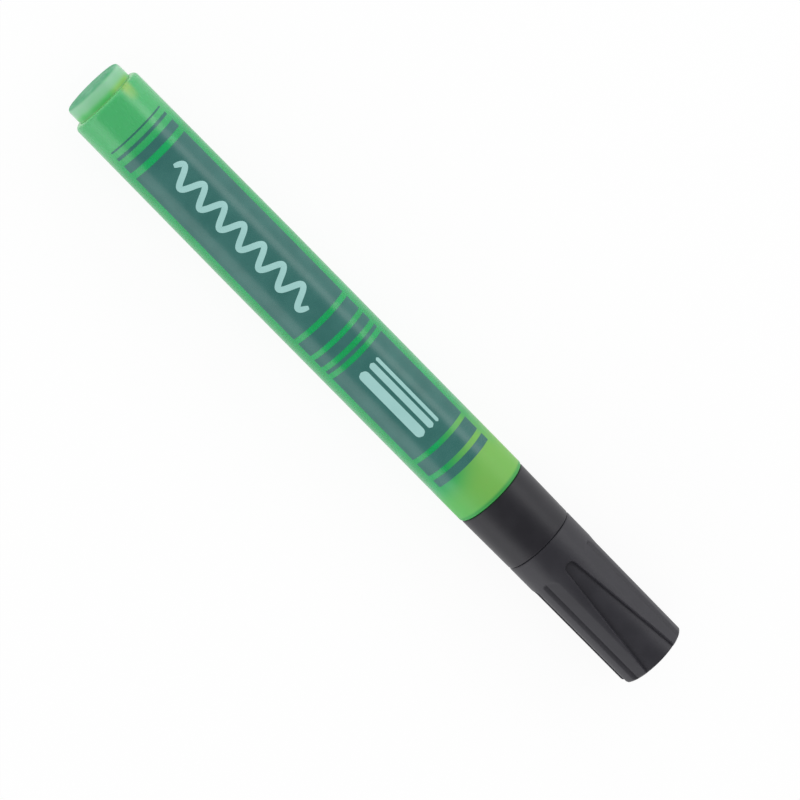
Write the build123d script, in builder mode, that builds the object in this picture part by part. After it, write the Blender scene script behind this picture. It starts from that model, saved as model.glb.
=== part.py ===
"""Valve-action paint marker with a fluted push-on cap, lying on its side.

Lengths are millimetres. X runs along the marker from the rear plug to the closed end of the cap, and Z is up.
The origin lies on the surface that the marker rests on, below the middle of its length.
"""

import os
from math import cos, pi, radians, sin, sqrt

from build123d import *

# Barrel: the tube that holds the paint, with a neck at its front
barrel_od = 14.5
barrel_length = 95.8
barrel_taper = 0.2
barrel_taper_length = 38.0
barrel_rim_wall = 1.25
barrel_front_web = 1.6
barrel_rear_round = 0.9
barrel_front_chamfer = 0.5
barrel_seam_turn = 3.214
reservoir_cone_length = 1.2
neck_wall_share = 0.207
neck_bead_height = 0.25
neck_bead_setback = 2.6

# Rear plug: pressed into the rear of the barrel, down to a step in the bore
plug_head_length = 3.5
plug_spigot_length = 6.0
plug_side_gap = 0.12
plug_wall = 1.3
plug_end_wall = 2.2
plug_dome_height = 0.4
plug_edge_round = 0.8
plug_rib_length = 0.5
plug_rib_setback = 1.6
plug_rib_spacing = 2.2
plug_rib_count = 2
plug_seat_step = 0.2

# Front section: collar, cap seat and nose in one moulding
collar_length = 12.0
collar_step = 0.125
collar_taper = 0.125
collar_wall_share = 0.1643
collar_web = 2.4
collar_edge_round = 0.25
cap_seat_length = 10.0
cap_seat_bead_height = 0.2
cap_seat_bead_setback = 2.2
nose_base_length = 2.5
nose_tip_od = 6.4
nose_cone_length = 5.5
nose_tip_round = 0.4
nose_guide_length = 6.0
feed_groove_width = 0.6
feed_groove_depth = 0.4
feed_groove_count = 3

# Cap: a shell with tapering panels and finger grooves, and a liner that seals over the nose
cap_taper = 0.1
cap_wall = 1.05
cap_end_wall = 1.4
cap_step_height = 0.6
cap_step_gap = 0.4
cap_rim_round = 0.3
cap_end_round = 0.7
cap_turn = -5.0
flute_start = 5.0
panel_count = 4
panel_depth = 0.45
panel_start_width = 2.2
panel_end_width = 6.5
groove_width = 2.6
groove_depth = 0.32
liner_wall = 0.75
liner_end_wall = 1.0
liner_lip_gap = 0.8
liner_lip_chamfer = 0.3

# Nib: a fibre rod with a bullet tip
nib_od = 4.4
nib_exposed = 6.0
nib_tip_gap = 3.0
nib_bullet_length = 4.2
nib_tip_radius = 1.1
nib_rear_chamfer = 0.4

# Valve unit, clamped by its flange between the barrel's neck and the front section
gasket_thickness = 0.6
housing_wall = 1.0
flange_thickness = 1.0
front_chamber_length = 7.0
seat_web = 1.2
stem_share = 0.3662
stem_gap = 0.5
head_gap = 0.35
head_thickness = 1.2
seal_inset_share = 0.094
seal_thickness = 0.8
cup_wall = 0.6
cup_gap = 0.35
cup_floor = 1.0
cup_depth = 3.0
cup_stop_gap = 0.4
press_travel = 1.8
side_port_od = 2.4
side_port_count = 4
retainer_thickness = 1.4
retainer_step = 0.35
retainer_port_od = 1.3
retainer_port_count = 4
spring_length = 8.0
spring_wire_od = 0.5
spring_side_gap = 0.8
spring_pitch = 1.3
spring_end_gap = 0.05
spring_steps = 200

# Paint and mixing balls
ball_share = 0.3103
ball_gap = 0.15
paint_wall_gap = 0.05
paint_air_share = 0.268

# Clearances shared by several pieces
fit_gap = 0.05
cap_gap = 0.1
nib_gap = 0.1
overrun = 1.0
round_limit_share = 0.8

# Stations along the marker, from the rear plug to the cap's end
nose_length = nose_base_length + nose_cone_length
cap_end_length = nib_tip_gap + liner_end_wall + cap_end_wall
cap_length = cap_seat_length + nose_length + nib_exposed + cap_end_length
total_length = plug_head_length + barrel_length + collar_length + cap_length
rear_end = -total_length / 2
barrel_rear = rear_end + plug_head_length
barrel_front = barrel_rear + barrel_length
cap_rim = barrel_front + collar_length
cap_end = cap_rim + cap_length
plug_front = barrel_rear + plug_spigot_length
plug_floor = rear_end + plug_end_wall
reservoir_front = barrel_front - barrel_front_web - reservoir_cone_length
flange_front = cap_rim - collar_web
flange_rear = flange_front - flange_thickness
neck_end = flange_rear - gasket_thickness
seat_front = flange_front - front_chamber_length
seat_rear = seat_front - seat_web
head_front = seat_rear - seal_thickness
head_rear = head_front - head_thickness
retainer_front = head_rear - spring_length
housing_rear = retainer_front - retainer_thickness
cup_rear = seat_front + press_travel + cup_stop_gap
nib_rear = cup_rear + cup_floor
cup_front = nib_rear + cup_depth
cap_seat_end = cap_rim + cap_seat_length
nose_base_end = cap_seat_end + nose_base_length
nose_tip = nose_base_end + nose_cone_length
nose_guide_rear = nose_tip - nose_guide_length
nib_tip = nose_tip + nib_exposed
liner_rear = cap_seat_end + liner_lip_gap
cap_step = cap_seat_end + cap_step_gap
cap_floor = cap_end - cap_end_wall
liner_floor = cap_floor - liner_end_wall

# Radii, from the outside inwards
barrel_r = barrel_od / 2
axis_height = barrel_r
barrel_rear_r = barrel_r - barrel_taper
collar_rear_r = barrel_r - collar_step
collar_front_r = collar_rear_r - collar_taper
cap_end_r = collar_front_r - cap_taper
plug_bore_r = barrel_rear_r - barrel_rim_wall
plug_r = plug_bore_r - plug_side_gap
plug_cavity_r = plug_r - plug_wall
reservoir_r = plug_bore_r - plug_seat_step
socket_r = collar_front_r * (1 - collar_wall_share)
neck_r = socket_r - fit_gap
neck_bore_r = neck_r * (1 - neck_wall_share)
housing_r = neck_bore_r - fit_gap
nib_r = nib_od / 2
nib_bore_r = nib_r + nib_gap
cap_bore_r = collar_front_r - cap_wall
cap_seat_bead_r = cap_bore_r - cap_gap
cap_seat_r = cap_seat_bead_r - cap_seat_bead_height
cap_step_r = cap_bore_r - cap_step_height
liner_r = cap_step_r - fit_gap
liner_bore_r = liner_r - liner_wall
nose_base_r = liner_bore_r - fit_gap
nose_tip_r = nose_tip_od / 2
chamber_r = housing_r - housing_wall
stem_r = chamber_r * stem_share
seat_hole_r = stem_r + stem_gap
head_r = chamber_r - head_gap
seal_r = head_r * (1 - seal_inset_share)
spring_mean_r = chamber_r - spring_side_gap - spring_wire_od / 2
cup_r = nib_r + fit_gap + cup_wall
front_chamber_r = cup_r + cup_gap
retainer_seat_r = chamber_r + retainer_step
ball_r = barrel_r * ball_share
ball_path_r = ball_r + ball_gap
ball_drop = reservoir_r - ball_path_r
paint_r = reservoir_r - paint_wall_gap

# The marker's axis, the plane of its turned outlines (X along the marker, Y outwards) and planes across it
marker_axis = Axis((0, 0, axis_height), (1, 0, 0))
axial_plane = Plane(origin=(0, 0, axis_height), x_dir=(1, 0, 0), z_dir=(0, -1, 0))
barrel_plane = axial_plane.rotated((barrel_seam_turn, 0, 0))


def cross_plane(station):
    """The plane across the marker at a station, with its X axis upwards and its normal towards the cap."""
    return Plane(origin=(station, 0, axis_height), x_dir=(0, 0, 1), z_dir=(1, 0, 0))


def bead(station, base_r, height):
    """Points of a low round bead on a cylinder: foot, crown and foot, for a three-point arc."""
    half = 2 * height
    return (station - half, base_r), (station, base_r + height), (station + half, base_r)


def rings(part):
    """The closed circular edges of a turned part."""
    return part.edges().filter_by(GeomType.CIRCLE).filter_by(lambda edge: edge.is_closed)


def end_ring(part, end):
    """The widest ring at the rear end (0) or the front end (-1) of a turned part."""
    return rings(part).group_by(Axis.X)[end].sort_by(SortBy.RADIUS)[-1]


# Barrel: tapers slightly to the rear, and its front neck carries a bead that locks the front section.
# Its outline stands a little off upright, so that the seam of the turned faces isn't on the top line.
neck_bead = bead(neck_end - neck_bead_setback, neck_r, neck_bead_height)
with BuildPart() as barrel:
    with BuildSketch(barrel_plane):
        with BuildLine():
            Polyline(
                neck_bead[0],
                (barrel_front, neck_r),
                (barrel_front, barrel_r),
                (barrel_rear + barrel_taper_length, barrel_r),
                (barrel_rear, barrel_rear_r),
                (barrel_rear, plug_bore_r),
                (plug_front, plug_bore_r),
                (plug_front, reservoir_r),
                (reservoir_front, reservoir_r),
                (reservoir_front + reservoir_cone_length, neck_bore_r),
                (neck_end, neck_bore_r),
                (neck_end, neck_r),
                neck_bead[2],
            )
            ThreePointArc(*neck_bead)
        make_face()
    revolve(axis=marker_axis)
    fillet(end_ring(barrel.part, 0), radius=min(barrel_rear_round, barrel_rim_wall * round_limit_share))
    front_rim = rings(barrel.part).group_by(SortBy.RADIUS)[-1].sort_by(Axis.X)[-1]
    chamfer(front_rim, length=barrel_front_chamfer)
barrel.part.label = "barrel"

# Rear plug: a hollow stopper with a slightly domed end and two ribs that grip the bore
plug_ribs = [barrel_rear + plug_rib_setback + i * plug_rib_spacing for i in range(plug_rib_count)]
with BuildPart() as rear_plug:
    with BuildSketch(axial_plane):
        with BuildLine():
            RadiusArc(
                (rear_end, 0),
                (rear_end + plug_dome_height, plug_r),
                (plug_r**2 + plug_dome_height**2) / (2 * plug_dome_height),
            )
            Polyline(
                (rear_end + plug_dome_height, plug_r),
                (plug_front, plug_r),
                (plug_front, plug_cavity_r),
                (plug_floor, plug_cavity_r),
                (plug_floor, 0),
                (rear_end, 0),
            )
        make_face()
    revolve(axis=marker_axis)
    fillet(end_ring(rear_plug.part, 0), radius=plug_edge_round)
    for station in plug_ribs:
        with BuildSketch(cross_plane(station)):
            Circle(plug_bore_r)
            Circle(plug_r, mode=Mode.SUBTRACT)
        extrude(amount=plug_rib_length)
rear_plug.part.label = "rear_plug"

# Front section: collar over the barrel's neck, seat for the cap with a snap bead, and nose for the nib.
# The nose is hollow behind its guide, and grooves in the guide let paint and air past the nib.
socket_bead = bead(neck_end - neck_bead_setback, socket_r, neck_bead_height)
seat_bead = bead(cap_rim + cap_seat_bead_setback, cap_seat_r, cap_seat_bead_height)
with BuildPart() as front_section:
    with BuildSketch(axial_plane):
        with BuildLine():
            Polyline(
                socket_bead[0],
                (barrel_front, socket_r),
                (barrel_front, collar_rear_r),
                (cap_rim, collar_front_r),
                (cap_rim, cap_seat_r),
                seat_bead[0],
            )
            ThreePointArc(*seat_bead)
            Polyline(
                seat_bead[2],
                (cap_seat_end, cap_seat_r),
                (cap_seat_end, nose_base_r),
                (nose_base_end, nose_base_r),
                (nose_tip, nose_tip_r),
                (nose_tip, nib_bore_r),
                (nose_guide_rear, nib_bore_r),
                (nose_guide_rear, front_chamber_r),
                (flange_front, front_chamber_r),
                (flange_front, socket_r),
                socket_bead[2],
            )
            ThreePointArc(*socket_bead)
        make_face()
    revolve(axis=marker_axis)
    fillet(end_ring(front_section.part, -1), radius=nose_tip_round)
    fillet(rings(front_section.part).sort_by(SortBy.RADIUS)[-2:], radius=collar_edge_round)
    with BuildSketch(cross_plane(nose_guide_rear)):
        with PolarLocations(nib_bore_r, feed_groove_count):
            Rectangle(2 * feed_groove_depth, feed_groove_width)
    extrude(amount=nose_guide_length + overrun, mode=Mode.SUBTRACT)
front_section.part.label = "front_section"

# Gasket: a soft washer between the end of the neck and the valve flange
with BuildPart() as sealing_gasket:
    with BuildSketch(cross_plane(neck_end)):
        Circle(neck_r)
        Circle(neck_bore_r, mode=Mode.SUBTRACT)
    extrude(amount=gasket_thickness)
sealing_gasket.part.label = "sealing_gasket"

# Valve housing: flanged sleeve with a seat web, side ports for the paint and a seat for the retainer
with BuildPart() as valve_housing:
    with BuildSketch(axial_plane):
        with BuildLine():
            Polyline(
                (housing_rear, housing_r),
                (flange_rear, housing_r),
                (flange_rear, neck_r),
                (flange_front, neck_r),
                (flange_front, front_chamber_r),
                (seat_front, front_chamber_r),
                (seat_front, seat_hole_r),
                (seat_rear, seat_hole_r),
                (seat_rear, chamber_r),
                (retainer_front, chamber_r),
                (retainer_front, retainer_seat_r),
                (housing_rear, retainer_seat_r),
                close=True,
            )
        make_face()
    revolve(axis=marker_axis)
    port_station = retainer_front + spring_length / 2
    for side in range(side_port_count):
        port_angle = radians(360 / side_port_count * (side + 0.5))
        outwards = Vector(0, sin(port_angle), cos(port_angle))
        with BuildSketch(Plane(origin=(port_station, 0, axis_height), x_dir=(1, 0, 0), z_dir=outwards)):
            Circle(side_port_od / 2)
        extrude(amount=neck_r, mode=Mode.SUBTRACT)
valve_housing.part.label = "valve_housing"

# Spring retainer: a disc that snaps into the rear of the housing, with paint ports round a guide hole
retainer_port_circle = (stem_r + fit_gap + retainer_seat_r) / 2
with BuildPart() as spring_retainer:
    with BuildSketch(cross_plane(housing_rear)):
        Circle(retainer_seat_r)
        Circle(stem_r + fit_gap, mode=Mode.SUBTRACT)
        with PolarLocations(retainer_port_circle, retainer_port_count):
            Circle(retainer_port_od / 2, mode=Mode.SUBTRACT)
    extrude(amount=retainer_thickness)
spring_retainer.part.label = "spring_retainer"

# Valve stem: rear guide pin, sealing head, stem through the seat, and the cup that carries the nib
with BuildPart() as valve_stem:
    with BuildSketch(axial_plane):
        with BuildLine():
            Polyline(
                (retainer_front - retainer_thickness / 2, 0),
                (retainer_front - retainer_thickness / 2, stem_r),
                (head_rear, stem_r),
                (head_rear, head_r),
                (head_front, head_r),
                (head_front, stem_r),
                (cup_rear, stem_r),
                (cup_rear, cup_r),
                (cup_front, cup_r),
                (cup_front, nib_r + fit_gap),
                (nib_rear, nib_r + fit_gap),
                (nib_rear, 0),
                close=True,
            )
        make_face()
    revolve(axis=marker_axis)
valve_stem.part.label = "valve_stem"

# Valve seal: a rubber washer on the stem that closes the seat
with BuildPart() as valve_seal:
    with BuildSketch(cross_plane(head_front)):
        Circle(seal_r)
        Circle(stem_r + fit_gap, mode=Mode.SUBTRACT)
    extrude(amount=seal_thickness)
valve_seal.part.label = "valve_seal"


# Valve spring: one unbroken wire, wound in biarcs of a quarter turn
def helix_point(turn):
    """Point and unit direction on the spring's centre line after a number of turns."""
    angle = 2 * pi * turn
    across = spring_mean_r * cos(angle)
    up = spring_mean_r * sin(angle)
    start = retainer_front + spring_end_gap + spring_wire_od / 2
    point = Vector(start + spring_pitch * turn, across, axis_height + up)
    direction = Vector(spring_pitch, -2 * pi * up, 2 * pi * across)
    return point, direction.normalized()


def biarc(start, start_direction, end, end_direction):
    """Two arcs that leave start and reach end in the given directions and share a tangent where they meet."""
    chord = end - start
    both = start_direction + end_direction
    bend = 2 * (1 - start_direction.dot(end_direction))
    lead = chord.dot(both)
    reach = (sqrt(lead**2 + bend * chord.dot(chord)) - lead) / bend
    first = start + start_direction * reach
    second = end - end_direction * reach
    middle = (first + second) / 2
    TangentArc(start, middle, tangent=start_direction)
    TangentArc(middle, end, tangent=(second - first).normalized())


spring_turns = (spring_length - 2 * spring_end_gap - spring_wire_od) / spring_pitch
quarter_count = int(4 * spring_turns)
with BuildPart() as valve_spring:
    with BuildLine() as spring_line:
        for quarter in range(quarter_count):
            turn_now = spring_turns * quarter / quarter_count
            turn_next = spring_turns * (quarter + 1) / quarter_count
            biarc(*helix_point(turn_now), *helix_point(turn_next))
    spring_start, spring_direction = helix_point(0)
    with BuildSketch(Plane(origin=spring_start, z_dir=spring_direction)):
        Circle(spring_wire_od / 2)
    sweep(path=spring_line.line)
valve_spring.part.label = "valve_spring"
spring_points = [helix_point(spring_turns * i / spring_steps)[0] for i in range(spring_steps + 1)]
half_turn = int(spring_steps / spring_turns / 2)
turn_gaps = [
    (point - other).length - spring_wire_od
    for i, point in enumerate(spring_points)
    for other in spring_points[i + half_turn :]
]
print("valve spring: least gap between turns", round(min(turn_gaps), 3), "mm")

# Nib: the tip is a cone that runs into a small round point
tip_round_start = nib_tip - nib_tip_radius
with BuildPart() as nib:
    with BuildSketch(axial_plane):
        with BuildLine():
            Polyline(
                (tip_round_start, nib_tip_radius),
                (nib_tip - nib_bullet_length, nib_r),
                (nib_rear + nib_rear_chamfer, nib_r),
                (nib_rear, nib_r - nib_rear_chamfer),
                (nib_rear, 0),
                (nib_tip, 0),
            )
            RadiusArc((nib_tip, 0), (tip_round_start, nib_tip_radius), -nib_tip_radius)
        make_face()
    revolve(axis=marker_axis)
nib.part.label = "nib"

# Cap surface: a straight line from the rim to the end, which the panels and grooves follow
cap_slope = Vector(cap_length, 0, -cap_taper).normalized()
cap_outwards = Vector(cap_taper, 0, cap_length).normalized()
flute_start_r = collar_front_r - cap_taper * flute_start / cap_length
flute_length = cap_length - flute_start
flute_point = Vector(cap_rim + flute_start, 0, axis_height + flute_start_r)

# Cutter for one tapering panel: a wedge with a round point, which reaches its end width at the cap's end
panel_round_r = panel_start_width / 2
panel_end_x = flute_length + overrun
panel_end_half = panel_end_width / 2 * panel_end_x / flute_length
panel_reach = cap_end_r / 2
with BuildPart() as panel_cutter:
    with BuildSketch(Plane(origin=flute_point, x_dir=cap_slope, z_dir=cap_outwards)):
        with BuildLine():
            ThreePointArc((panel_round_r, panel_round_r), (0, 0), (panel_round_r, -panel_round_r))
            Polyline(
                (panel_round_r, -panel_round_r),
                (panel_end_x, -panel_end_half),
                (panel_end_x, panel_end_half),
                (panel_round_r, panel_round_r),
            )
        make_face()
    extrude(amount=panel_reach, both=True)
    with BuildSketch(axial_plane):
        with BuildLine():
            Polyline(
                (cap_rim, 0),
                (cap_rim, collar_front_r - panel_depth),
                (cap_end, cap_end_r - panel_depth),
                (cap_end + overrun, cap_end_r - panel_depth),
                (cap_end + overrun, 0),
                close=True,
            )
        make_face()
    revolve(axis=marker_axis, mode=Mode.SUBTRACT)

# Cutter for one finger groove: a round bar with a ball end, laid along the cap's surface
groove_r = (groove_width**2 / 4 + groove_depth**2) / (2 * groove_depth)
groove_height = groove_r - groove_depth
groove_plane = Plane(origin=flute_point, x_dir=cap_slope, z_dir=(0, -1, 0))
groove_ball_x = groove_width / 2
with BuildPart() as groove_cutter:
    with BuildSketch(groove_plane):
        with BuildLine():
            Polyline(
                (groove_ball_x, groove_height - groove_r),
                (flute_length + overrun, groove_height - groove_r),
                (flute_length + overrun, groove_height),
                (groove_ball_x - groove_r, groove_height),
            )
            RadiusArc(
                (groove_ball_x - groove_r, groove_height),
                (groove_ball_x, groove_height - groove_r),
                -groove_r,
            )
        make_face()
    revolve(axis=Axis(groove_plane.from_local_coords((0, groove_height)), cap_slope))

# Cap shell: stepped bore for the seat and the liner, four panels, and a groove on each rib between them
with BuildPart() as cap_shell:
    with BuildSketch(axial_plane):
        with BuildLine():
            Polyline(
                (cap_rim, cap_bore_r),
                (cap_rim, collar_front_r),
                (cap_end, cap_end_r),
                (cap_end, 0),
                (cap_floor, 0),
                (cap_floor, cap_step_r),
                (cap_step, cap_step_r),
                (cap_step, cap_bore_r),
                close=True,
            )
        make_face()
    revolve(axis=marker_axis)
    fillet(end_ring(cap_shell.part, 0), radius=cap_rim_round)
    fillet(end_ring(cap_shell.part, -1), radius=cap_end_round)
    for panel in range(panel_count):
        panel_turn = cap_turn + panel * 360 / panel_count
        groove_turn = panel_turn + 180 / panel_count
        add(panel_cutter.part.rotate(marker_axis, panel_turn), mode=Mode.SUBTRACT)
        add(groove_cutter.part.rotate(marker_axis, groove_turn), mode=Mode.SUBTRACT)
cap_shell.part.label = "cap_shell"

# Cap liner: a soft cup pressed into the cap, whose lip seals round the base of the nose
with BuildPart() as cap_liner:
    with BuildSketch(axial_plane):
        with BuildLine():
            Polyline(
                (liner_rear, liner_r),
                (cap_floor, liner_r),
                (cap_floor, 0),
                (liner_floor, 0),
                (liner_floor, liner_bore_r),
                (liner_rear + liner_lip_chamfer, liner_bore_r),
                (liner_rear, liner_bore_r + liner_lip_chamfer),
                close=True,
            )
        make_face()
    revolve(axis=marker_axis)
cap_liner.part.label = "cap_liner"

# Paint: lies level in the reservoir and the plug's hollow, with air above it,
# and leaves room for the valve unit and for the path of the balls
valve_pocket_r = housing_r + ball_gap
valve_pocket_rear = housing_rear - press_travel - cup_stop_gap
ball_path_rear = plug_front + paint_wall_gap
paint_front = reservoir_front - paint_wall_gap
with BuildPart() as paint_charge:
    with BuildSketch(axial_plane):
        with BuildLine():
            Polyline(
                (plug_floor + paint_wall_gap, 0),
                (plug_floor + paint_wall_gap, plug_cavity_r - paint_wall_gap),
                (ball_path_rear, plug_cavity_r - paint_wall_gap),
                (ball_path_rear, paint_r),
                (paint_front, paint_r),
                (paint_front, 0),
                close=True,
            )
        make_face()
    revolve(axis=marker_axis)
    split(bisect_by=Plane.XY.offset(axis_height + reservoir_r * (1 - 2 * paint_air_share)), keep=Keep.BOTTOM)
    with BuildSketch(cross_plane(valve_pocket_rear)):
        Circle(valve_pocket_r)
    extrude(amount=paint_front - valve_pocket_rear, mode=Mode.SUBTRACT)
    with BuildSketch(cross_plane(ball_path_rear)):
        with Locations((-ball_drop, 0)):
            Circle(ball_path_r)
            Rectangle(ball_path_r + overrun, 2 * ball_path_r, align=(Align.MAX, Align.CENTER))
    extrude(amount=valve_pocket_rear - ball_path_rear, mode=Mode.SUBTRACT)
paint_charge.part.label = "paint_charge"

# Mixing balls: two steel balls that lie at the bottom of the reservoir, against the plug's end
rear_ball_x = ball_path_rear + ball_path_r
front_ball_x = rear_ball_x + 2 * ball_path_r
with BuildPart() as mixing_ball_rear:
    with Locations((rear_ball_x, 0, axis_height - ball_drop)):
        Sphere(ball_r)
mixing_ball_rear.part.label = "mixing_ball_rear"
with BuildPart() as mixing_ball_front:
    with Locations((front_ball_x, 0, axis_height - ball_drop)):
        Sphere(ball_r)
mixing_ball_front.part.label = "mixing_ball_front"

pieces = [
    barrel,
    rear_plug,
    front_section,
    sealing_gasket,
    valve_housing,
    spring_retainer,
    valve_stem,
    valve_seal,
    valve_spring,
    nib,
    cap_shell,
    cap_liner,
    paint_charge,
    mixing_ball_rear,
    mixing_ball_front,
]
os.makedirs("parts", exist_ok=True)
for piece in pieces:
    export_step(piece.part, f"parts/{piece.part.label}.step")
ball_travel = valve_pocket_rear - front_ball_x - ball_path_r
print("total length", round(total_length, 2), "ball travel", round(ball_travel, 2))
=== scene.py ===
"""Paint marker with a push-on cap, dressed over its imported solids.
Lengths are millimetres where nothing else is said."""

import math

import bmesh
import bpy
import mathutils
import numpy as np
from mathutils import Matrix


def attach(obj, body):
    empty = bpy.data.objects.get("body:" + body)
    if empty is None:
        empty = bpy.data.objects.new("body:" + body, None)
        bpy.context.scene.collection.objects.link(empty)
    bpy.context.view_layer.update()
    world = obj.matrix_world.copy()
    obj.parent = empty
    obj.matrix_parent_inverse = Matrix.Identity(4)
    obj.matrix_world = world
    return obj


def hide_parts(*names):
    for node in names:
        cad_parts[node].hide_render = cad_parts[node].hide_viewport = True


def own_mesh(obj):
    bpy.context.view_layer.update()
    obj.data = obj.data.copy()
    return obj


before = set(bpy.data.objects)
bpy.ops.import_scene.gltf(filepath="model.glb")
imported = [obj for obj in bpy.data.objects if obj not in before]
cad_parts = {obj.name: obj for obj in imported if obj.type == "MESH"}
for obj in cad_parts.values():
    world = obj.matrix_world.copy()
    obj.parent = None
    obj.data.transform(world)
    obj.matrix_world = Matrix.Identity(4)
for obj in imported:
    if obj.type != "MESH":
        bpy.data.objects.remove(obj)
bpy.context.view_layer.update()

# Barrel: the paint reservoir, one injection-moulded tube of translucent green plastic with a
# narrower neck. It tapers slightly to its open rear end, and the paint film inside shows through.
# It is drawn a print's thickness under size, so that the print on it stays within that size.
millimetre = 0.001
axis_height = 7.25
print_lift = 0.016
barrel_rear = -66.85
barrel_taper_end = -28.85
barrel_front = 28.95
barrel_radius = 7.25 - print_lift
barrel_rear_radius = 7.05 - print_lift
barrel_rear_round = 0.9
barrel_front_round = 0.5
neck_end = 36.95
neck_radius = 5.8
neck_bore = 4.6
neck_edge_round = 0.1
reservoir_front = 26.15
reservoir_cone_end = 27.35
reservoir_radius = 5.6
plug_front = -60.85
plug_bore = 5.8
crease_angle = math.radians(35.0)
merge_metres = 1e-7
same_place = 1e-6
least_angle = 1e-4
tiny = 1e-9


def outline(corners, steps=8):
    """Points (station, radius) of a turned outline, from corners (station, radius, rounding).
    A rounded corner becomes an arc that touches the straight runs on both sides of it."""
    corner = np.array(corners, dtype=float)
    here = corner[:, :2]
    rounding = corner[:, 2:]
    back = np.roll(here, 1, axis=0) - here
    ahead = np.roll(here, -1, axis=0) - here
    back /= np.linalg.norm(back, axis=1, keepdims=True)
    ahead /= np.linalg.norm(ahead, axis=1, keepdims=True)
    opening = np.clip((back * ahead).sum(axis=1, keepdims=True), -1.0, 1.0)
    half_angle = np.clip(np.arccos(opening) / 2.0, least_angle, None)
    inwards = back + ahead
    inwards /= np.maximum(np.linalg.norm(inwards, axis=1, keepdims=True), tiny)
    centre = here + inwards * rounding / np.sin(half_angle)
    first = here + back * rounding / np.tan(half_angle) - centre
    last = here + ahead * rounding / np.tan(half_angle) - centre
    sweep = (np.pi - 2.0 * half_angle)[:, None, :]
    share = np.linspace(0.0, 1.0, steps)[None, :, None]
    from_first = np.sin((1.0 - share) * sweep) * first[:, None, :]
    to_last = np.sin(share * sweep) * last[:, None, :]
    arc = (from_first + to_last) / np.maximum(np.sin(sweep), tiny)
    points = (centre[:, None, :] + arc).reshape(-1, 2)
    apart = np.linalg.norm(np.diff(points, axis=0), axis=1) > same_place
    return points[np.append(True, apart)]


def make_piece(name, grids, wrap_rows=False, wrap_columns=False):
    """Mesh object from grids of points: quads join neighbours in each grid, and a wrapped direction
    closes on itself. Doubles are merged, which closes poles and shared borders, and the faces are
    turned outwards."""
    faces = []
    count = 0
    for grid in grids:
        index = np.arange(grid.shape[0] * grid.shape[1]).reshape(grid.shape[:2]) + count
        count += index.size
        if wrap_rows:
            index = np.vstack([index, index[:1]])
        if wrap_columns:
            index = np.hstack([index, index[:, :1]])
        corners = [index[:-1, :-1], index[:-1, 1:], index[1:, 1:], index[1:, :-1]]
        faces.append(np.stack(corners, axis=-1).reshape(-1, 4))
    faces = np.concatenate(faces).astype(np.int32)
    points = np.concatenate([grid.reshape(-1, 3) for grid in grids]) * millimetre
    mesh = bpy.data.meshes.new(name)
    mesh.vertices.add(len(points))
    mesh.vertices.foreach_set("co", points.ravel())
    mesh.loops.add(faces.size)
    mesh.loops.foreach_set("vertex_index", faces.ravel())
    mesh.polygons.add(len(faces))
    mesh.polygons.foreach_set("loop_start", np.arange(0, faces.size, 4, dtype=np.int32))
    mesh.update(calc_edges=True)
    work = bmesh.new()
    work.from_mesh(mesh)
    bmesh.ops.remove_doubles(work, verts=work.verts, dist=merge_metres)
    bmesh.ops.recalc_face_normals(work, faces=work.faces)
    work.to_mesh(mesh)
    work.free()
    mesh.polygons.foreach_set("use_smooth", np.ones(len(mesh.polygons), dtype=bool))
    mesh.set_sharp_from_angle(angle=crease_angle)
    piece = bpy.data.objects.new(name, mesh)
    bpy.context.scene.collection.objects.link(piece)
    return piece


def around(station, radius, turn):
    """Points at a station along the marker, a radius from its axis, and a turn from straight up
    towards +Y."""
    across = radius * np.sin(turn)
    height = axis_height + radius * np.cos(turn)
    return np.stack(np.broadcast_arrays(station, across, height), axis=-1)


def turned(name, points, columns=128, closed=False):
    """Piece of revolution: each outline point is carried round the marker's axis."""
    turn = np.linspace(0.0, 2.0 * np.pi, columns, endpoint=False)[None, :]
    grid = around(points[:, :1], points[:, 1:], turn)
    return make_piece(name, [grid], wrap_rows=closed, wrap_columns=True)


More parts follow.
